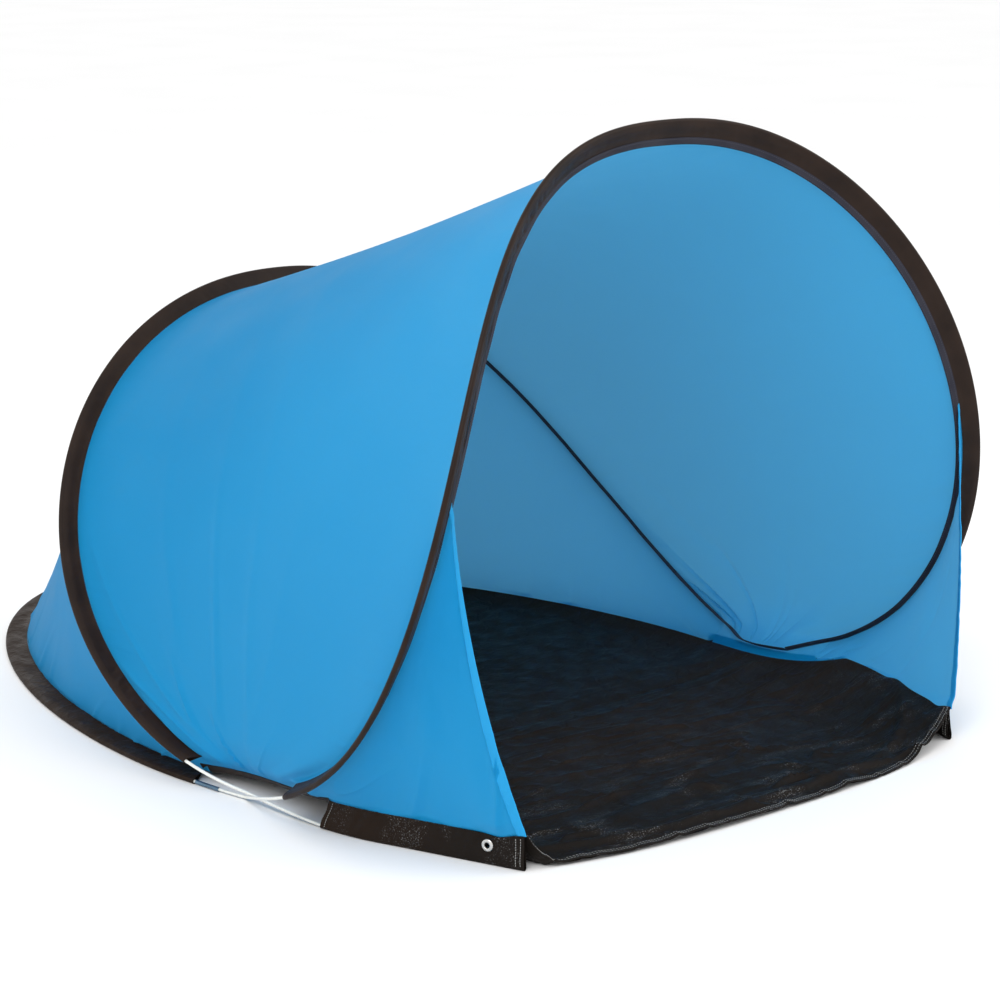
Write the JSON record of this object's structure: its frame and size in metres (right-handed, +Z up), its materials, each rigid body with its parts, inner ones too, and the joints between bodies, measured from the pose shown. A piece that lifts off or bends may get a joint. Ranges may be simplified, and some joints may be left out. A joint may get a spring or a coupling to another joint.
{
  "type": "pop-up beach tent",
  "caption": "Pop-up beach tent: crossing spring-rod rings carry a blue canopy, rear wall and side wings over a black groundsheet; the half hoops fold together like a fan.",
  "frame": {"origin": "on the ground, at the bottom centre of the pitched tent's box", "axes": "+X across the mouth, -Y out of the mouth, +Z up"},
  "size_m": [1.3494, 1.9999, 1.1024],
  "materials": {
    "blue_polyester": "thin coated polyester, slight sheen",
    "arch_sleeve_cloth": "brown-black satin polyester",
    "black_sheet": "woven coated polyethylene, wrinkled gloss",
    "seam_tape": "woven binding tape",
    "fibreglass": "pale glass-fibre rod",
    "ferrule_metal": "blue-grey crimped tube",
    "eyelet_metal": "bright rolled eyelet"
  },
  "bodies": {
    "root": {"groundsheet_rear": "black_sheet", "left_crossing_rod_b": "fibreglass", "left_ferrule": "ferrule_metal", "left_rear_edge_binding": "black_sheet", "rear_floor_rod": "fibreglass", "rear_floor_sleeve": "black_sheet", "right_crossing_rod_b": "fibreglass", "right_ferrule": "ferrule_metal", "right_rear_edge_binding": "black_sheet"},
    "rear_arch": {"left_crossing_rod_a": "fibreglass", "rear_arch_rod": "fibreglass", "rear_arch_seam_tape": "seam_tape", "rear_arch_sleeve": "arch_sleeve_cloth", "rear_wall": "blue_polyester", "right_crossing_rod_a": "fibreglass"},
    "front_arch": {"canopy": "blue_polyester", "front_arch_rod": "fibreglass", "front_arch_seam_tape": "seam_tape", "front_arch_sleeve": "arch_sleeve_cloth"},
    "front_floor": {"front_ferrule": "ferrule_metal", "front_floor_rod": "fibreglass", "front_hem": "black_sheet", "front_rod_tunnel": "black_sheet", "groundsheet_front": "black_sheet", "left_eyelet_grommet": "eyelet_metal", "left_eyelet_washer": "eyelet_metal", "left_front_edge_binding": "black_sheet", "left_side_sleeve": "black_sheet", "left_wing": "blue_polyester", "left_wing_hem": "blue_polyester", "right_eyelet_grommet": "eyelet_metal", "right_eyelet_washer": "eyelet_metal", "right_front_edge_binding": "black_sheet", "right_side_sleeve": "black_sheet", "right_wing": "blue_polyester", "right_wing_hem": "blue_polyester"}
  },
  "joints": [
    {"name": "rear_fold", "type": "hinge", "parent": "root", "child": "rear_arch", "pos_m": [0, -0.375, 0.0093], "axis": [-1, 0, 0], "range_deg": [0, 8], "stiffness_Nm_per_rad": 2, "springref_deg": -68.75, "deforming": ["rear_wall"]},
    {"name": "canopy_fold", "type": "hinge", "parent": "rear_arch", "child": "front_arch", "pos_m": [0, -0.375, 0.0093], "axis": [-1, 0, 0], "range_deg": [0, 54], "stiffness_Nm_per_rad": 1, "springref_deg": -57.3, "deforming": ["canopy", "left_crossing_rod_b", "right_crossing_rod_b"]},
    {"name": "wing_fold", "type": "hinge", "parent": "front_arch", "child": "front_floor", "pos_m": [0, -0.375, 0.0093], "axis": [-1, 0, 0], "range_deg": [0, 64], "stiffness_Nm_per_rad": 0.5, "springref_deg": -34.38, "deforming": ["left_wing", "right_wing", "left_crossing_rod_a", "right_crossing_rod_a"]}
  ]
}
